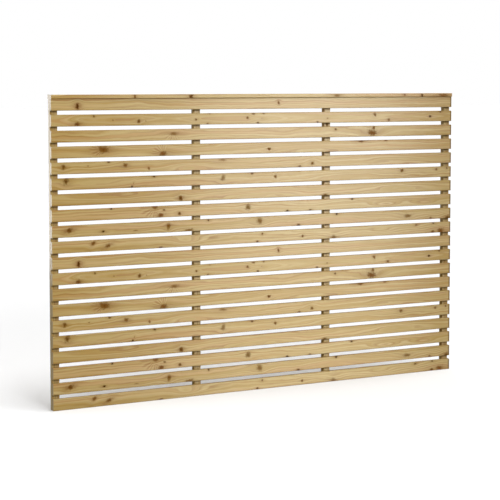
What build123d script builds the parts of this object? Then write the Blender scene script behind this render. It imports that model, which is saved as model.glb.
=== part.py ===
from build123d import *
import os

# Slatted fence panel in millimetres: X along the slats, Y from front to back, Z up.
# The origin is on the ground, midway along the panel and midway through its depth.

# Slats
panel_length = 1800.0
slat_count = 20
slat_height = 45.0
slat_thickness = 15.0
slat_gap = 15.0
slat_arris = 2.0

# Upright battens behind the slats
batten_names = ["left_end", "left_middle", "right_middle", "right_end"]
batten_width = 30.0
batten_depth = 21.0
batten_arris = 2.0

# Cap laid flat along the top
cap_width = 45.0
cap_thickness = 15.0
cap_arris = 2.0

# Wire staples, each set askew so that its legs enter different lines of grain
staple_crown = 11.0
staple_wire_width = 1.6
staple_wire_thickness = 1.4
staple_point = 2.5
staple_skew = 45.0
timber_over_points = 4.0

# Places that follow from the sizes
body_height = slat_count * slat_height + (slat_count - 1) * slat_gap
body_depth = slat_thickness + batten_depth
front_y = -body_depth / 2
back_y = body_depth / 2
slat_y = front_y + slat_thickness / 2
batten_y = back_y - batten_depth / 2
batten_spacing = (panel_length - batten_width) / (len(batten_names) - 1)
staple_leg = body_depth - timber_over_points


def slat_middle_z(index):
    """Height of the middle of a slat, counted from 0 at the bottom."""
    return index * (slat_height + slat_gap) + slat_height / 2


def batten_x(index):
    """Place of a batten along the panel, counted from 0 at the left end."""
    return batten_spacing * index - (panel_length - batten_width) / 2


def planed_strip(length, depth, height, arris):
    """A strip along X, centred on the origin, with its four long edges eased and its ends cut square."""
    section = Plane.YZ * RectangleRounded(depth, height, arris)
    return extrude(section, amount=length / 2, both=True)


def planed_upright(width, depth, height, arris):
    """An upright along Z, standing on the origin, with its four long edges eased and its ends cut square."""
    return extrude(RectangleRounded(width, depth, arris), amount=height)


def wire_staple():
    """A staple driven along -Z, its crown along X with the outer face at the origin, with chisel points."""
    half_crown = staple_crown / 2
    inside = half_crown - staple_wire_thickness
    outline = Polyline(
        (0, 0),
        (half_crown, 0),
        (half_crown, -staple_leg),
        (inside, -staple_leg + staple_point),
        (inside, -staple_wire_thickness),
        (0, -staple_wire_thickness),
        close=True,
    )
    half = Plane.XZ * make_face(outline)
    return extrude(half + mirror(half, about=Plane.YZ), amount=staple_wire_width / 2, both=True)


def batten_staples(index):
    """The staples of one batten, one into each slat, flush with the batten's back and skewed as a mirrored pair."""
    skew = staple_skew if batten_x(index) < 0 else -staple_skew
    into_back = Plane(origin=(batten_x(index), back_y, 0), x_dir=(1, 0, 0), z_dir=(0, 1, 0))
    staple = Rot(0, 0, skew) * wire_staple()
    driven = into_back.location * staple
    return [Pos(0, 0, slat_middle_z(slat)) * driven for slat in range(slat_count)]


def cap_staples():
    """The staples down through the cap, one into the top of each batten."""
    top_z = body_height + cap_thickness
    return [Pos(batten_x(index), batten_y, top_z) * wire_staple() for index in range(len(batten_names))]


def save(name, solids):
    """Writes one piece, or one group of like pieces."""
    node = Compound(label=name, children=solids)
    export_step(node, os.path.join("parts", name + ".step"))


os.makedirs("parts", exist_ok=True)

into_slats = [batten_staples(index) for index in range(len(batten_names))]
into_battens = cap_staples()

for slat in range(slat_count):
    strip = Pos(0, slat_y, slat_middle_z(slat)) * planed_strip(
        panel_length, slat_thickness, slat_height, slat_arris
    )
    save(f"slat_{slat + 1:02d}", [strip - [staples[slat] for staples in into_slats]])

for index, name in enumerate(batten_names):
    upright = Pos(batten_x(index), batten_y, 0) * planed_upright(
        batten_width, batten_depth, body_height, batten_arris
    )
    save(f"{name}_batten", [upright - into_slats[index] - into_battens[index]])
    save(f"{name}_staples", into_slats[index])

cap = Pos(0, 0, body_height + cap_thickness / 2) * planed_strip(
    panel_length, cap_width, cap_thickness, cap_arris
)
save("top_cap", [cap - into_battens])
save("cap_staples", into_battens)
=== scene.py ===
import math

import bmesh
import bpy
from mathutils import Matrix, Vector


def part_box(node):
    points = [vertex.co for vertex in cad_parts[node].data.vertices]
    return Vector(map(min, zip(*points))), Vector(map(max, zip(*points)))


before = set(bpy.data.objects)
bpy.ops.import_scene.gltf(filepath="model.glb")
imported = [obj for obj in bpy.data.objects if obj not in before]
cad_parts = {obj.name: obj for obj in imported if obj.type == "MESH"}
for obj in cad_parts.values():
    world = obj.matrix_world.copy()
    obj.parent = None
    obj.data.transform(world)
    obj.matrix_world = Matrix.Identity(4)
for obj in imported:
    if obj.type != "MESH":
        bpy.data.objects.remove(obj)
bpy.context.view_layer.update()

# Places read from the frame, in metres
MM = 0.001
slat_low, slat_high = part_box("slat_01")
next_slat_low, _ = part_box("slat_02")
cap_low, cap_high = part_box("top_cap")
end_batten_low, end_batten_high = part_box("left_end_batten")
next_batten_low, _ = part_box("left_middle_batten")
slat_pitch = next_slat_low.z - slat_low.z
slat_height = slat_high.z - slat_low.z
cap_thickness = cap_high.z - cap_low.z
batten_spacing = next_batten_low.x - end_batten_low.x
batten_width = end_batten_high.x - end_batten_low.x
panel_left, panel_right = slat_low.x, slat_high.x
SLAT_COUNT = sum(name.startswith("slat_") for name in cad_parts)
PATTERN_COUNT = 10

# Knots of the ten slat patterns, counted from the top slat down, in mm on the slat's face:
# (along from the left end, up from the lower edge, half length, half height, lean in degrees,
# darkness, strength of the stain along the grain)
SLAT_KNOTS = {
    1: [(105, 15, 6, 12, 0, 0.88, 0.9), (961, 25, 4, 8.5, 8, 0.7, 0.5)],
    2: [
        (103, 8, 9, 7, 0, 0.8, 0.8), (170, 38, 3.5, 5, 0, 0.82, 0.3), (247, 22, 3, 2.5, 0, 0.65, 0.3),
        (353, 18, 6, 6.5, 0, 0.78, 0.6), (383, 17, 3, 2.5, 0, 0.45, 0.3), (595, 21, 4.5, 4.5, 0, 0.8, 0.5),
        (645, 4, 5, 3.5, 0, 0.8, 0.3), (654, 42, 4, 2.5, 0, 0.5, 0.2), (821, 25, 5, 4.5, 0, 0.72, 0.4),
        (847, 40, 7, 4.5, 0, 0.7, 0.4), (893, 42, 4.5, 3.5, 0, 0.75, 0.2), (867, 4, 5.5, 4, 0, 0.9, 0.3),
        (885, 23, 3, 2.5, 0, 0.45, 0.2), (1141, 4, 5.5, 3.5, 0, 0.85, 0.3), (1188, 19, 4, 3.5, 0, 0.65, 0.3),
        (1416, 31, 5, 8, 30, 0.66, 0.5), (1484, 9, 5.5, 5, 0, 0.72, 0.4), (1743, 41, 5, 3.5, 0, 0.88, 0.3),
        (1691, 22, 5, 4.5, 0, 1.0, 0.5),
    ],
    3: [
        (500, 26, 19, 6, 0, 0.47, 0.8), (1227, 33, 5, 4, 0, 0.85, 0.3), (1411, 37, 5.5, 8, 0, 0.65, 0.3),
        (1404, 20, 20, 12, 0, 0.66, 0.8),
    ],
    4: [
        (207, 31, 17, 11.5, 0, 0.7, 1.0), (455, 9, 14, 8, 0, 0.7, 0.7), (918, 18, 6.5, 6, 0, 0.76, 0.5),
        (1350, 41, 13, 4, 0, 0.75, 0.9), (1470, 42, 7, 3.5, 0, 0.72, 0.4),
    ],
    5: [
        (47, 28, 7, 8.5, 0, 0.76, 0.7), (145, 29, 3.5, 3, 0, 0.62, 0.4), (229, 42, 5, 4, 0, 0.85, 0.4),
        (297, 29, 7, 7, 0, 0.68, 0.8), (394, 14, 4.5, 5, 0, 0.66, 0.4), (711, 39, 14, 6, 0, 0.48, 0.6),
        (1057, 4, 6.5, 3.5, 0, 0.75, 0.3), (1118, 15, 6.5, 7.5, 0, 0.58, 0.5),
    ],
    6: [
        (57, 34, 9, 13, -25, 0.8, 0.5), (323, 5, 5, 3.5, 0, 0.95, 0.4), (330, 17, 2, 6, -20, 0.5, 0.2),
        (416, 41, 5, 3.5, 0, 0.9, 0.3), (712, 27, 8, 12, -30, 0.52, 0.4), (841, 41, 6, 4, 0, 0.85, 0.3),
        (947, 26, 5, 7, 0, 0.6, 0.4), (1551, 33, 7, 7.5, 0, 0.7, 0.6), (1726, 34, 5, 5, 0, 0.73, 0.4),
        (1779, 38, 4.5, 5, 0, 0.8, 0.2),
    ],
    7: [(528, 12, 7.5, 11, 0, 0.76, 0.8), (1179, 3, 8, 5, 0, 0.66, 0.6)],
    8: [
        (237, 42, 5, 4, 0, 1.0, 0.3), (457, 29, 6, 3.5, 0, 0.85, 0.3), (443, 10, 10, 8, 0, 0.7, 0.6),
        (420, 39, 11, 9, 0, 0.64, 0.5), (523, 12, 6, 6.5, 0, 0.8, 0.5), (823, 26, 11, 10.5, 0, 0.58, 0.2),
        (1002, 4, 5.5, 4, 0, 1.0, 0.4), (1108, 4, 6.5, 3.5, 0, 0.8, 0.4), (1308, 41, 5.5, 4, 0, 1.0, 0.4),
    ],
    9: [
        (68, 27, 10, 8.5, 15, 0.74, 1.0), (205, 17, 6, 4, 0, 0.95, 0.6), (338, 14, 10, 2, 0, 0.75, 0.3),
        (476, 25, 8, 12, -10, 0.6, 0.4), (564, 6, 17, 5, 0, 0.6, 0.5), (648, 41, 4, 4, 0, 0.9, 0.2),
        (875, 28, 13.5, 13.5, 0, 0.52, 0.2), (1053, 4, 6.5, 4.5, 0, 0.85, 0.4), (1233, 41, 5, 4, 0, 0.95, 0.3),
        (1583, 18, 17, 8.5, 0, 0.5, 0.6), (1698, 6, 6, 5, 0, 0.7, 0.4), (1784, 4, 10, 9, 0, 0.75, 0.6),
    ],
    10: [
        (165, 33, 7.5, 6.5, 45, 0.74, 0.6), (224, 21, 9.5, 6.5, 25, 0.68, 1.0),
        (442, 4, 6, 3.5, 0, 0.85, 0.6), (670, 31, 24, 5, 0, 0.16, 0.6),
        (888, 35, 4.5, 4, 0, 0.8, 0.3), (865, 4, 5.5, 4.5, 0, 0.85, 0.3),
        (1072, 17, 5, 5, 0, 0.78, 0.2), (1221, 8, 11, 6, 0, 0.55, 0.5), (1625, 38, 5, 4.5, 0, 0.8, 0.3),
        (1712, 42, 6, 4, 0, 0.9, 0.3), (1710, 6, 7, 5.5, 0, 0.8, 0.5), (1749, 9, 13, 10, 0, 0.68, 0.6),
    ],
}
# Swells of the grain: (along, up, half length, half height, rings), in mm
SLAT_EYES = {
    1: [(300, 24, 120, 14, 1.2), (1300, 20, 160, 14, -1.4)],
    2: [
        (130, 23, 75, 90, -2.6), (160, 23, 50, 90, 0.9), (270, 23, 170, 90, -5.2), (750, 23, 300, 90, -5.0),
        (1660, 22, 190, 7, 2.6),
    ],
    3: [(1407, 22, 70, 16, -2.0), (760, 10, 160, 14, 1.3)],
    4: [(640, 30, 130, 14, 1.6), (1120, 16, 150, 13, -1.5)],
    5: [(567, 16, 95, 15, 2.8), (1118, 17, 45, 14, 1.6), (1480, 26, 140, 14, 1.6)],
    6: [(180, 14, 110, 13, 1.5), (1280, 24, 150, 14, -1.8)],
    7: [(260, 30, 140, 15, -1.6), (860, 16, 170, 14, 1.4), (1500, 26, 150, 14, 1.8)],
    8: [(1468, 13, 80, 11, 3.0), (1664, 13, 70, 11, 3.0), (1120, 26, 140, 14, 1.4)],
    9: [(1250, 22, 140, 15, 1.8), (1577, 22, 60, 15, -1.5)],
    10: [(553, 25, 60, 16, 2.6), (1219, 16, 55, 15, 2.0), (1450, 22, 110, 13, 1.5)],
}
# Slats cut from beside the heart show arches: (up, back) of the heart from the lower front edge, in mm
SLAT_HEARTS = {2: (23, 8)}
# Slats of paler timber than the rest
SLAT_PALER = {1: 0.06, 8: 0.05, 10: 0.08}
# Fans of rays beside knots: (along, up, half length, half height, degrees that they face), in mm
SLAT_FANS = {
    3: [(498, 30, 60, 34, 255)],
    4: [(456, 10, 58, 42, 122), (205, 30, 62, 28, 190)],
    8: [(420, 40, 74, 48, 228), (443, 12, 34, 20, 180)],
}
# Knots of the cap, on its front edge as a slat's are on its face, with the usual stain
CAP_KNOTS = [
    (336, 6, 4, 7, 0, 0.7), (572, 6, 8, 7, 0, 0.82), (1231, 8, 12, 6, 0, 0.5),
    (1560, 9, 4, 5, 0, 0.65), (1647, 6, 4, 9, 0, 0.88), (1757, 7, 22, 6, 0, 0.58),
]
# Each batten takes its grain from its own stretch of one long strip, this far on from the last, in mm
BATTEN_STRETCH = 3700
# Knots of the battens, in mm:
# (batten from the left, up from the ground, across from its left edge, then as for the cap)
BATTEN_KNOTS = [
    (0, 212, 9, 6, 5, 0, 0.8), (0, 630, 21, 8, 6, 0, 0.7), (0, 985, 12, 5, 4, 0, 0.8),
    (1, 150, 20, 8, 7, 0, 0.7), (1, 560, 8, 5, 4, 0, 0.8), (1, 1100, 10, 5, 5, 0, 0.9),
    (2, 330, 11, 9, 6, 0, 0.7), (2, 800, 22, 6, 5, 0, 0.8), (2, 1072, 14, 6, 4, 0, 0.8),
    (3, 95, 18, 6, 5, 0, 0.8), (3, 480, 9, 8, 6, 0, 0.6), (3, 930, 20, 5, 5, 0, 0.9),
]


# Node building

def node(tree, kind, settings=None, inputs=None):
    """A shader node with its settings, and its inputs set to values or linked to sockets."""
    made = tree.nodes.new("ShaderNode" + kind)
    for name, value in (settings or {}).items():
        setattr(made, name, value)
    for key, value in (inputs or {}).items():
        if isinstance(value, bpy.types.NodeSocket):
            tree.links.new(value, made.inputs[key])
        else:
            made.inputs[key].default_value = value
    return made


def maths(tree, operation, *values):
    return node(tree, "Math", {"operation": operation}, dict(enumerate(values))).outputs[0]


def vector_maths(tree, operation, *values):
    made = node(tree, "VectorMath", {"operation": operation}, dict(enumerate(values)))
    return made.outputs["Value" if operation == "LENGTH" else "Vector"]


def ramped(tree, value, low, high, to_low=0.0, to_high=1.0):
    """A smooth step from one value to another."""
    limits = {"Value": value, "From Min": low, "From Max": high, "To Min": to_low, "To Max": to_high}
    return node(tree, "MapRange", {"interpolation_type": "SMOOTHSTEP"}, limits).outputs["Result"]


def noise(tree, place, scale, detail=2.0, roughness=0.5):
    values = {"Vector": place, "Scale": scale, "Detail": detail, "Roughness": roughness}
    return node(tree, "TexNoise", None, values).outputs[0]


def mixed(tree, factor, first, second, blend="MIX"):
    made = node(tree, "Mix", {"data_type": "RGBA", "blend_type": blend}, {0: factor, 6: first, 7: second})
    return made.outputs[2]


def stretched(tree, place, x, y, z):
    return vector_maths(tree, "MULTIPLY", place, (x, y, z))


def new_group(name, inputs, outputs):
    """An empty node group with named sockets: its tree, its inputs and its outputs."""
    tree = bpy.data.node_groups.new(name, "ShaderNodeTree")
    for label, kind in inputs.items():
        tree.interface.new_socket(label, in_out="INPUT", socket_type="NodeSocket" + kind)
    for label, kind in outputs.items():
        tree.interface.new_socket(label, in_out="OUTPUT", socket_type="NodeSocket" + kind)
    return tree, tree.nodes.new("NodeGroupInput").outputs, tree.nodes.new("NodeGroupOutput").inputs


def linear(red, green, blue):
    """A colour given as 0 to 255 on a screen, in the linear values that shaders take."""
    def channel(value):
        value /= 255
        return value / 12.92 if value <= 0.04045 else ((value + 0.055) / 1.055) ** 2.4
    return (channel(red), channel(green), channel(blue), 1.0)


def put_out(tree, surface):
    """Makes a shader the material's surface."""
    output = tree.nodes.new("ShaderNodeOutputMaterial")
    tree.links.new(surface.outputs[0], output.inputs["Surface"])


# Effects that several timbers share

RING_SPACING = 7 * MM
# How dark the painted shade along the slats' upper and lower edges is
EDGE_SHADE = 0.14
USUAL_TAIL = 0.6
STRAW = linear(176, 152, 98)
HONEY = linear(158, 127, 64)
PINKISH = linear(170, 128, 80)
OLIVE = linear(156, 130, 66)
LATEWOOD = linear(126, 80, 32)
KNOT_STAIN = linear(116, 74, 26)
KNOT_BROWN = linear(102, 60, 8)
KNOT_RED = linear(110, 56, 20)
KNOT_DARK = linear(52, 27, 2)
# End-grain colour; on the end battens' outer sides it is also painted paleness where light falls
END_GRAIN_AND_LIT_SIDE = linear(170, 148, 100)
# The brown of painted shade: slat edges and right ends, under each slat on the battens, and over the battens as
# a whole
SHADE_BROWN = linear(92, 70, 36)
DULL_ZINC = linear(142, 146, 148)
BRIGHT_ZINC = linear(196, 200, 202)


def at_ends(tree, x):
    """One on the panel's two end faces, and nothing between them."""
    from_middle = maths(tree, "ABSOLUTE", x)
    return ramped(tree, from_middle, panel_right - 0.8 * MM, panel_right - 0.2 * MM)


def make_slat_place():
    """Place on any slat: along from its left end, up from its lower edge, back from its face."""
    tree, _, out = new_group("slat_place", {}, {"Place": "Vector", "End": "Float", "Painted Shade": "Float"})
    here = node(tree, "TexCoord").outputs["Object"]
    apart = node(tree, "SeparateXYZ", None, {0: here})
    along = maths(tree, "SUBTRACT", apart.outputs[0], panel_left)
    up = maths(tree, "FLOORED_MODULO", maths(tree, "SUBTRACT", apart.outputs[2], slat_low.z), slat_pitch)
    back = maths(tree, "SUBTRACT", apart.outputs[1], slat_low.y)
    tree.links.new(node(tree, "CombineXYZ", None, {0: along, 1: up, 2: back}).outputs[0], out["Place"])
    tree.links.new(at_ends(tree, apart.outputs[0]), out["End"])
    # Painted shade: a dark band at the slat's right end, and darker bands along its upper and lower edges
    right_end = ramped(tree, apart.outputs[0], panel_right - 8 * MM, panel_right - 5 * MM)
    lower_edge = ramped(tree, up, 8 * MM, 4 * MM, 0.0, EDGE_SHADE)
    upper_edge = ramped(tree, up, slat_height - 8 * MM, slat_height - 4 * MM, 0.0, EDGE_SHADE)
    edges = maths(tree, "MAXIMUM", lower_edge, upper_edge)
    tree.links.new(maths(tree, "MAXIMUM", right_end, edges), out["Painted Shade"])
    return tree


def bell(tree, share):
    """One at the middle, falling away smoothly with distance."""
    distance = vector_maths(tree, "LENGTH", share)
    square = maths(tree, "MULTIPLY", distance, distance)
    return maths(tree, "EXPONENT", maths(tree, "MULTIPLY", square, -1.0))


def make_knot():
    """One knot, added to those before it: its heart, its stain, and the grain pushed aside round it."""
    tree, into, out = new_group(
        "knot",
        {"Place": "Vector", "Wobble": "Vector", "Centre": "Vector", "Reach": "Vector", "Lean": "Float",
         "Darkness": "Float", "Tail": "Float", "Heart": "Float", "Shade": "Float", "Stain": "Float"},
        {"Place": "Vector", "Heart": "Float", "Shade": "Float", "Stain": "Float"},
    )
    offset = vector_maths(tree, "SUBTRACT", into["Place"], into["Centre"])
    turned = node(tree, "VectorRotate", {"rotation_type": "Z_AXIS", "invert": True},
                  {"Vector": offset, "Angle": into["Lean"]})
    share = vector_maths(tree, "DIVIDE", turned.outputs[0], into["Reach"])
    uneven = vector_maths(tree, "ADD", share, into["Wobble"])
    distance = vector_maths(tree, "LENGTH", uneven)
    heart = maths(tree, "SUBTRACT", 1.2, distance)
    tree.links.new(maths(tree, "MAXIMUM", heart, into["Heart"]), out["Heart"])
    core = maths(tree, "MULTIPLY", ramped(tree, distance, 1.5, 0.4), into["Darkness"])
    tree.links.new(maths(tree, "MAXIMUM", core, into["Shade"]), out["Shade"])
    tail = bell(tree, stretched(tree, uneven, 0.34, 0.75, 0.3))
    stain = maths(tree, "MULTIPLY", maths(tree, "MULTIPLY", tail, into["Tail"]), into["Darkness"])
    tree.links.new(maths(tree, "MAXIMUM", stain, into["Stain"]), out["Stain"])
    fading = bell(tree, stretched(tree, share, 0.26, 0.4, 0.3))
    aside = vector_maths(tree, "SCALE", stretched(tree, offset, 0.0, 0.85, 0.0))
    tree.links.new(fading, aside.node.inputs["Scale"])
    tree.links.new(vector_maths(tree, "SUBTRACT", into["Place"], aside), out["Place"])
    return tree


def make_eye():
    """A swell in the rings, added to those before it: the grain closes round it in nested arches."""
    tree, into, out = new_group(
        "grain_eye",
        {"Place": "Vector", "Centre": "Vector", "Reach": "Vector", "Rise": "Float", "Swell": "Float"},
        {"Swell": "Float"},
    )
    offset = vector_maths(tree, "SUBTRACT", into["Place"], into["Centre"])
    share = vector_maths(tree, "DIVIDE", offset, into["Reach"])
    rise = maths(tree, "MULTIPLY", bell(tree, share), into["Rise"])
    tree.links.new(maths(tree, "ADD", rise, into["Swell"]), out["Swell"])
    return tree


def make_fan():
    """Fine rays that spread to one side of a knot, where the grain rises steeply round it."""
    tree, into, out = new_group(
        "grain_fan",
        {"Place": "Vector", "Centre": "Vector", "Reach": "Vector", "Facing": "Float", "Rays": "Float"},
        {"Rays": "Float"},
    )
    offset = vector_maths(tree, "SUBTRACT", into["Place"], into["Centre"])
    turned = node(tree, "VectorRotate", {"rotation_type": "Z_AXIS", "invert": True},
                  {"Vector": offset, "Angle": into["Facing"]})
    apart = node(tree, "SeparateXYZ", None, {0: turned.outputs[0]})
    angle = maths(tree, "ARCTAN2", apart.outputs[1], apart.outputs[0])
    window = ramped(tree, maths(tree, "ABSOLUTE", angle), 1.4, 0.8)
    distance = vector_maths(tree, "LENGTH", vector_maths(tree, "DIVIDE", offset, into["Reach"]))
    ring = maths(tree, "MULTIPLY", ramped(tree, distance, 0.2, 0.45), ramped(tree, distance, 1.1, 0.6))
    heading = vector_maths(tree, "NORMALIZE", offset)
    even_turns = maths(tree, "MULTIPLY", angle, 20.0)
    turns = maths(tree, "MULTIPLY_ADD", noise(tree, heading, 2.5, 1.0), 9.0, even_turns)
    wave = maths(tree, "SINE", turns)
    rays = maths(tree, "MULTIPLY", maths(tree, "MULTIPLY", wave, window), ring)
    tree.links.new(maths(tree, "ADD", rays, into["Rays"]), out["Rays"])
    return tree


def make_grain():
    """Growth rings about a pith line, fine fibre along the strip, and bands of tone that follow the rings."""
    tree, into, out = new_group(
        "grain",
        {"Place": "Vector", "Pith": "Vector", "Climb": "Float", "Seed": "Float", "Swell": "Float"},
        {"Late": "Float", "Fibre": "Float", "Tone": "Float", "Blush": "Float"},
    )
    seed = node(tree, "CombineXYZ", None, {0: into["Seed"], 1: 0.0, 2: 0.0}).outputs[0]
    place = vector_maths(tree, "ADD", into["Place"], seed)
    from_pith = stretched(tree, vector_maths(tree, "SUBTRACT", into["Place"], into["Pith"]), 0.0, 1.0, 1.0)
    radius = maths(tree, "DIVIDE", vector_maths(tree, "LENGTH", from_pith), RING_SPACING)
    apart = node(tree, "SeparateXYZ", None, {0: into["Place"]})
    climb = maths(tree, "MULTIPLY", apart.outputs[0], into["Climb"])
    rings = maths(tree, "ADD", maths(tree, "ADD", radius, climb), into["Swell"])
    for along, across, rise in ((1.6, 9.0, 4.5), (7.0, 34.0, 1.8), (28.0, 90.0, 0.4)):
        waver = noise(tree, stretched(tree, place, along, across, across), 1.0, 1.0)
        rings = maths(tree, "ADD", rings, maths(tree, "MULTIPLY", maths(tree, "SUBTRACT", waver, 0.5), rise))
    phase = maths(tree, "FRACT", rings)
    late = maths(tree, "MULTIPLY", ramped(tree, phase, 0.4, 0.88), ramped(tree, phase, 1.0, 0.92))
    ring_number = maths(tree, "FLOOR", rings)
    year = node(tree, "TexWhiteNoise", {"noise_dimensions": "1D"}, {"W": ring_number}).outputs[0]
    patch = noise(tree, stretched(tree, place, 4.0, 30.0, 30.0), 1.0, 1.0)
    by_year = ramped(tree, year, 0.0, 1.0, 0.25, 1.0)
    by_patch = ramped(tree, patch, 0.3, 0.65, 0.3, 1.0)
    strength = maths(tree, "MULTIPLY", by_year, by_patch)
    tree.links.new(maths(tree, "MULTIPLY", late, strength), out["Late"])
    tree.links.new(noise(tree, stretched(tree, place, 12.0, 700.0, 700.0), 1.0, 3.0, 0.6), out["Fibre"])
    run = maths(tree, "MULTIPLY", apart.outputs[0], 1.5)
    belt = node(tree, "CombineXYZ", None, {0: run, 1: rings, 2: into["Seed"]}).outputs[0]
    tree.links.new(noise(tree, belt, 0.9, 2.0), out["Tone"])
    far_belt = vector_maths(tree, "ADD", belt, (31.0, 17.0, 5.0))
    tree.links.new(noise(tree, far_belt, 0.7, 2.0), out["Blush"])
    return tree


def make_timber_finish():
    """Colour, sheen and height of planed softwood from its grain and knots, with painted shade where it is asked
    for.
    """
    tree, into, out = new_group(
        "timber_finish",
        {"Late": "Float", "Fibre": "Float", "Tone": "Float", "Blush": "Float", "Rays": "Float", "Heart": "Float",
         "Shade": "Float", "Stain": "Float", "Rust": "Float", "End": "Float", "Painted Shade": "Float", "Recess Shade": "Float",
         "Matt": "Float", "Paler": "Float"},
        {"Colour": "Color", "Sheen": "Float", "Height": "Float"},
    )
    tone = maths(tree, "SUBTRACT", into["Tone"], into["Paler"])
    body = mixed(tree, ramped(tree, tone, 0.36, 0.64), STRAW, HONEY)
    body = mixed(tree, ramped(tree, into["Blush"], 0.5, 0.68, 0.0, 0.5), body, PINKISH)
    body = mixed(tree, ramped(tree, into["Blush"], 0.5, 0.34, 0.0, 0.3), body, OLIVE)
    body = mixed(tree, maths(tree, "MULTIPLY", into["Late"], 0.6), body, LATEWOOD)
    body = mixed(tree, ramped(tree, into["Rays"], 0.1, 0.8, 0.0, 0.5), body, LATEWOOD)
    body = mixed(tree, ramped(tree, into["Rays"], -0.1, -0.8, 0.0, 0.5), body, STRAW)
    fibre = ramped(tree, into["Fibre"], 0.25, 0.75, 0.92, 1.07)
    body = mixed(tree, 1.0, body, fibre, "MULTIPLY")
    body = mixed(tree, into["Stain"], body, KNOT_STAIN)
    brown = mixed(tree, into["Rust"], KNOT_BROWN, KNOT_RED)
    rim_ring = ramped(tree, into["Heart"], 0.6, 0.35)
    middle_spot = ramped(tree, into["Heart"], 0.85, 1.05)
    darker = maths(tree, "MULTIPLY", maths(tree, "MAXIMUM", rim_ring, middle_spot), 0.6)
    brown = mixed(tree, darker, brown, KNOT_DARK)
    heart = mixed(tree, ramped(tree, into["Shade"], 0.65, 0.95), brown, KNOT_DARK)
    body = mixed(tree, into["Shade"], body, heart)
    # Painted shade: bands along the slats' edges and right ends, and under each slat on the battens
    body = mixed(tree, maths(tree, "MULTIPLY", into["Painted Shade"], 0.75), body, SHADE_BROWN)
    # Painted shade: the battens a little darker all over, where they stand back behind the slats
    body = mixed(tree, maths(tree, "MULTIPLY", into["Recess Shade"], 0.06), body, SHADE_BROWN)
    # End-grain colour on the end faces; on the end battens' outer sides this is painted paleness where light
    # falls
    body = mixed(tree, maths(tree, "MULTIPLY", into["End"], 0.7), body, END_GRAIN_AND_LIT_SIDE)
    tree.links.new(body, out["Colour"])
    sheen = maths(tree, "MULTIPLY_ADD", into["Shade"], -1.6, 1.0)
    sheen = maths(tree, "MULTIPLY_ADD", into["Stain"], -0.4, sheen)
    # Less sheen where shade is painted
    sheen = maths(tree, "MULTIPLY_ADD", into["Painted Shade"], -0.5, sheen)
    sheen = maths(tree, "MULTIPLY_ADD", into["Matt"], -0.85, sheen)
    tree.links.new(maths(tree, "MAXIMUM", sheen, 0.0), out["Sheen"])
    raised = maths(tree, "MULTIPLY", into["Late"], 0.5)
    raised = maths(tree, "MULTIPLY_ADD", into["Fibre"], 0.6, raised)
    raised = maths(tree, "MULTIPLY_ADD", into["Shade"], 0.5, raised)
    tree.links.new(raised, out["Height"])
    return tree


slat_place = make_slat_place()
knot_group = make_knot()
eye_group = make_eye()
fan_group = make_fan()
grain_group = make_grain()
timber_finish = make_timber_finish()


# Materials

def timber(
    material, place, end, pith, climb, seed, knots=(), eyes=(), fans=(), knot_depth=60,
    painted_shade=0.0, recess_shade=0.0, matt=0.0, paler=0.0,
):
    """Finishes a timber material whose tree already holds the sockets place and end."""
    tree = material.node_tree
    shake = node(tree, "TexNoise", None, {"Vector": place, "Scale": 130.0, "Detail": 2.0}).outputs["Color"]
    wobble = stretched(tree, vector_maths(tree, "SUBTRACT", shake, (0.5, 0.5, 0.5)), 1.8, 1.8, 0.0)
    rust = ramped(tree, noise(tree, place, 13.0, 1.0), 0.4, 0.6)
    rays = 0.0
    for along, up, half_length, half_height, facing in fans:
        made = node(tree, "Group", {"node_tree": fan_group}, {
            "Place": place,
            "Centre": (along * MM, up * MM, 0.0),
            "Reach": (half_length * MM, half_height * MM, knot_depth * MM),
            "Facing": math.radians(facing),
            "Rays": rays,
        })
        rays = made.outputs["Rays"]
    heart, shade, stain = -2.0, 0.0, 0.0
    for along, up, half_length, half_height, lean, darkness, *tail in knots:
        made = node(tree, "Group", {"node_tree": knot_group}, {
            "Place": place,
            "Wobble": wobble,
            "Centre": (along * MM, up * MM, 0.0),
            "Reach": (half_length * MM, half_height * MM, knot_depth * MM),
            "Lean": math.radians(lean),
            "Darkness": darkness,
            "Tail": tail[0] if tail else USUAL_TAIL,
            "Heart": heart,
            "Shade": shade,
            "Stain": stain,
        })
        place, heart, shade, stain = (made.outputs[label] for label in ("Place", "Heart", "Shade", "Stain"))
    swell = 0.0
    for along, up, half_length, half_height, rise in eyes:
        made = node(tree, "Group", {"node_tree": eye_group}, {
            "Place": place,
            "Centre": (along * MM, up * MM, 0.0),
            "Reach": (half_length * MM, half_height * MM, knot_depth * MM),
            "Rise": rise,
            "Swell": swell,
        })
        swell = made.outputs["Swell"]
    grain = node(tree, "Group", {"node_tree": grain_group}, {
        "Place": place,
        "Pith": pith,
        "Climb": climb,
        "Seed": seed,
        "Swell": swell,
    })
    finish = node(tree, "Group", {"node_tree": timber_finish}, {
        "Late": grain.outputs["Late"],
        "Fibre": grain.outputs["Fibre"],
        "Tone": grain.outputs["Tone"],
        "Blush": grain.outputs["Blush"],
        "Rays": rays,
        "Heart": heart,
        "Shade": shade,
        "Stain": stain,
        "Rust": rust,
        "End": end,
        "Painted Shade": painted_shade,
        "Recess Shade": recess_shade,
        "Matt": matt,
        "Paler": paler,
    })
    bump = node(tree, "Bump", None, {
        "Strength": 0.25,
        "Distance": 0.4 * MM,
        "Height": finish.outputs["Height"],
    })
    surface = node(tree, "BsdfPrincipled", None, {
        "Base Color": finish.outputs["Colour"],
        "Roughness": 0.8,
        "Specular IOR Level": 0.0,
        "Coat Weight": finish.outputs["Sheen"],
        "Coat Roughness": 0.21,
        "Coat IOR": 1.25,
        "Normal": bump.outputs[0],
        "Coat Normal": bump.outputs[0],
    })
    put_out(tree, surface)


def new_material(name):
    made = bpy.data.materials.new(name)
    made.use_nodes = True
    made.node_tree.nodes.clear()
    return made


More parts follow.
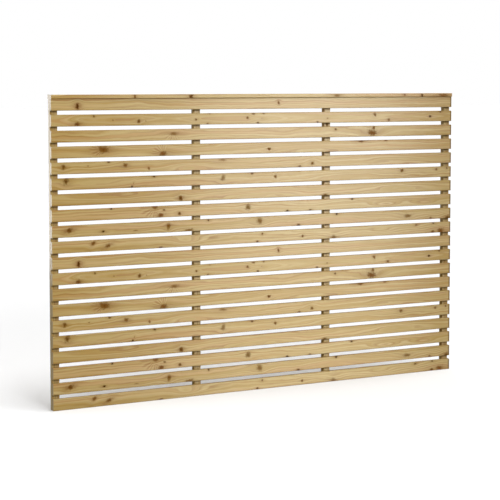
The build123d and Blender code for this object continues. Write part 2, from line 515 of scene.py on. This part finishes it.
def slat_material(pattern):
    """One of the ten slat patterns: its knots, and where its heart lies beside the strip."""
    made = new_material(f"slat_finish_{pattern:02d}")
    where = node(made.node_tree, "Group", {"node_tree": slat_place})
    side = 1 if pattern % 2 else -1
    heart_up, heart_back = SLAT_HEARTS.get(pattern, (22 + side * 40, 20 + 9 * (pattern % 4)))
    pith = (0.0, heart_up * MM, heart_back * MM)
    timber(
        made, where.outputs["Place"], where.outputs["End"], pith, 0.6 * side, 7.3 * pattern,
        SLAT_KNOTS[pattern], SLAT_EYES.get(pattern, ()), SLAT_FANS.get(pattern, ()), painted_shade=where.outputs["Painted Shade"],
        paler=SLAT_PALER.get(pattern, 0.0),
    )
    return made


def cap_material():
    """The cap, read from its front edge: along, up and back."""
    made = new_material("cap_finish")
    tree = made.node_tree
    here = node(tree, "TexCoord").outputs["Object"]
    apart = node(tree, "SeparateXYZ", None, {0: here})
    along = maths(tree, "SUBTRACT", apart.outputs[0], panel_left)
    up = maths(tree, "SUBTRACT", apart.outputs[2], cap_low.z)
    back = maths(tree, "SUBTRACT", apart.outputs[1], cap_low.y)
    place = node(tree, "CombineXYZ", None, {0: along, 1: up, 2: back}).outputs[0]
    end = at_ends(tree, apart.outputs[0])
    top = ramped(tree, up, cap_thickness - 2 * MM, cap_thickness - 0.5 * MM)
    timber(made, place, end, (0.0, -30 * MM, 26 * MM), 0.5, 91.0, CAP_KNOTS, knot_depth=22, matt=top)
    return made


def batten_material():
    """The battens, each with its own stretch of one grain: up from the ground, across and back."""
    made = new_material("batten_finish")
    tree = made.node_tree
    here = node(tree, "TexCoord").outputs["Object"]
    apart = node(tree, "SeparateXYZ", None, {0: here})
    from_left = maths(tree, "SUBTRACT", apart.outputs[0], end_batten_low.x - batten_spacing / 2)
    across = maths(tree, "FLOORED_MODULO", from_left, batten_spacing)
    order = maths(tree, "FLOOR", maths(tree, "DIVIDE", from_left, batten_spacing))
    along = maths(tree, "ADD", apart.outputs[2], maths(tree, "MULTIPLY", order, BATTEN_STRETCH * MM))
    back = maths(tree, "SUBTRACT", apart.outputs[1], end_batten_low.y)
    place = node(tree, "CombineXYZ", None, {0: along, 1: across, 2: back}).outputs[0]
    foot = ramped(tree, apart.outputs[2], 0.8 * MM, 0.2 * MM)
    # The end battens' outer sides take the end-grain colour too, as painted paleness where light falls on them
    outer_side = at_ends(tree, apart.outputs[0])
    knots = [
        (order_of_batten * BATTEN_STRETCH + height, batten_spacing / 2 / MM + across_face, *rest)
        for order_of_batten, height, across_face, *rest in BATTEN_KNOTS
    ]
    from_axis = maths(tree, "SUBTRACT", across, batten_spacing / 2 + batten_width / 2)
    from_batten_middle = maths(tree, "ABSOLUTE", from_axis)
    side = ramped(tree, from_batten_middle, batten_width / 2 - 1.2 * MM, batten_width / 2 - 0.4 * MM)
    inner_side = maths(tree, "MULTIPLY", side, maths(tree, "SUBTRACT", 1.0, outer_side))
    # Painted shade: darker, with less sheen, just under each slat on the battens' front
    above_slat = maths(tree, "FLOORED_MODULO", apart.outputs[2], slat_pitch)
    under_slat = ramped(tree, above_slat, slat_pitch - 11 * MM, slat_pitch - 3 * MM, 0.0, 0.6)
    shade_under_slats = maths(tree, "MULTIPLY", under_slat, ramped(tree, back, 1.5 * MM, 0.5 * MM))
    # The battens are painted a little darker all over, as painted shade for their place behind the slats
    timber(
        made, place, maths(tree, "MAXIMUM", foot, outer_side), (0.0, batten_spacing / 2 - 30 * MM, 40 * MM),
        0.4, 55.0, knots, painted_shade=shade_under_slats, recess_shade=1.0, matt=maths(tree, "MAXIMUM", inner_side, shade_under_slats),
    )
    return made


def staple_material():
    """Galvanised wire: dull zinc with faint cloudy spangle."""
    made = new_material("galvanised_wire")
    tree = made.node_tree
    here = node(tree, "TexCoord").outputs["Object"]
    cloud = noise(tree, here, 900.0, 3.0, 0.6)
    surface = node(tree, "BsdfPrincipled", None, {
        "Base Color": mixed(tree, ramped(tree, cloud, 0.3, 0.7), DULL_ZINC, BRIGHT_ZINC),
        "Metallic": 1.0,
        "Roughness": ramped(tree, cloud, 0.3, 0.7, 0.34, 0.5),
    })
    put_out(tree, surface)
    return made


def dress(node_name, material):
    """Gives a piece its finish."""
    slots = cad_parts[node_name].material_slots
    for slot in slots:
        slot.material = material


slat_materials = [slat_material(pattern) for pattern in range(1, PATTERN_COUNT + 1)]
for number in range(1, SLAT_COUNT + 1):
    from_top = SLAT_COUNT - number
    dress(f"slat_{number:02d}", slat_materials[from_top % PATTERN_COUNT])
dress("top_cap", cap_material())
battens = batten_material()
wire = staple_material()
for node_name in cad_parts:
    if node_name.endswith("_batten"):
        dress(node_name, battens)
    elif node_name.endswith("_staples"):
        dress(node_name, wire)


# Floor, light and camera

FLOOR_SEEN = (0.785, 0.785, 0.785, 1.0)
FLOOR_BOUNCED = (0.18, 0.18, 0.18, 1.0)
ROOM_LIGHT = 0.45
WARM_WHITE = (1.0, 0.925, 0.745)
AMBER_WHITE = (1.0, 0.88, 0.6)


def make_floor():
    """A wide pale floor under the panel. It gives little of its light back to the timber above it."""
    shape = bmesh.new()
    bmesh.ops.create_grid(shape, x_segments=1, y_segments=1, size=60.0)
    mesh = bpy.data.meshes.new("floor")
    shape.to_mesh(mesh)
    shape.free()
    floor = bpy.data.objects.new("floor", mesh)
    bpy.context.scene.collection.objects.link(floor)
    pale = new_material("pale_floor")
    tree = pale.node_tree
    bright = node(tree, "BsdfDiffuse", None, {"Color": FLOOR_SEEN})
    dim = node(tree, "BsdfDiffuse", None, {"Color": FLOOR_BOUNCED})
    bounced = node(tree, "LightPath").outputs["Is Diffuse Ray"]
    surface = node(tree, "MixShader", None, {0: bounced, 1: bright.outputs[0], 2: dim.outputs[0]})
    put_out(tree, surface)
    mesh.materials.append(pale)
    floor.visible_glossy = False
    floor.visible_shadow = False


def aimed(thing, target):
    """Turns a lamp or camera to look at a point."""
    thing.rotation_euler = (Vector(target) - thing.location).to_track_quat("-Z", "Y").to_euler()


def lit_from(direction, name, spread, strength):
    """A broad light from far away, as even at one end of the panel as at the other."""
    lamp = bpy.data.lights.new(name, "SUN")
    lamp.angle = math.radians(spread)
    lamp.energy = strength
    made = bpy.data.objects.new(name, lamp)
    made.location = direction
    aimed(made, (0.0, 0.0, 0.0))
    bpy.context.scene.collection.objects.link(made)
    return made


def softbox(name, location, target, width, height, watts):
    """A softbox near the panel, out of the picture."""
    lamp = bpy.data.lights.new(name, "AREA")
    lamp.shape = "RECTANGLE"
    lamp.size, lamp.size_y = width, height
    lamp.energy = watts
    made = bpy.data.objects.new(name, lamp)
    made.location = location
    aimed(made, target)
    made.visible_camera = False
    bpy.context.scene.collection.objects.link(made)
    return made


def compass(right_of_front, height):
    """A direction in front of the panel: degrees to the right of its middle, and degrees above the ground."""
    turn, rise = math.radians(right_of_front), math.radians(height)
    return Vector((math.sin(turn) * math.cos(rise), -math.cos(turn) * math.cos(rise), math.sin(rise)))


def make_room():
    """A dim even room. Seen by the camera it is a white backdrop."""
    world = bpy.data.worlds.new("pale_room")
    world.use_nodes = True
    tree = world.node_tree
    tree.nodes.clear()
    seen = node(tree, "LightPath").outputs["Is Camera Ray"]
    strength = node(tree, "Mix", {"data_type": "FLOAT"}, {0: seen, 2: ROOM_LIGHT, 3: 1.0}).outputs[0]
    room = node(tree, "Background", None, {"Color": (1.0, 1.0, 1.0, 1.0), "Strength": strength})
    output = tree.nodes.new("ShaderNodeOutputWorld")
    tree.links.new(room.outputs[0], output.inputs["Surface"])
    bpy.context.scene.world = world


def make_light():
    """Soft light from above, in front, behind and the left, and four softboxes that show only as sheen."""
    lit_from(compass(62, 66), "overhead_light", 44, 2.3).visible_glossy = False
    lit_from(compass(4, 23), "front_light", 20, 1.36).visible_glossy = False
    lit_from(compass(160, 6), "back_light", 40, 1.0).visible_glossy = False
    softbox("left_softbox", (-2.3, -1.5, 1.7), (-0.6, 0.0, 0.5), 1.2, 1.6, 20.0)
    slat_sheen = softbox("slat_sheen_softbox", (2.8, -4.75, 1.4), (0.2, 0.0, 0.9), 1.6, 3.0, 405.0)
    low_sheen = softbox("low_sheen_softbox", (2.8, -4.75, -1.0), (0.2, 0.0, 0.3), 1.6, 1.8, 195.0)
    side_sheen = softbox("side_sheen_softbox", (1.5, -4.75, 0.35), (-0.4, 0.0, 0.6), 0.9, 4.6, 84.0)
    end_sheen = softbox("end_sheen_softbox", (-2.2, 3.8, 1.1), (-0.9, 0.0, 0.7), 1.2, 2.2, 37.0)
    slat_sheen.data.color = WARM_WHITE
    side_sheen.data.color = WARM_WHITE
    low_sheen.data.color = AMBER_WHITE
    for sheen in (slat_sheen, low_sheen, side_sheen, end_sheen):
        sheen.visible_diffuse = False


def make_camera():
    """The photograph's view: from the front left, at about the height of the cap, with the lens shifted down."""
    lens = bpy.data.cameras.new("camera")
    lens.sensor_width = 36.0
    lens.lens = 101.38
    lens.shift_y = -0.155
    camera = bpy.data.objects.new("camera", lens)
    camera.location = (-2.572, -5.076, 1.245)
    camera.rotation_euler = (math.radians(90 - 3.648), 0.0, math.radians(-26.336))
    bpy.context.scene.collection.objects.link(camera)
    bpy.context.scene.camera = camera


make_floor()
make_room()
make_light()
make_camera()
bpy.context.scene.view_settings.view_transform = "Standard"
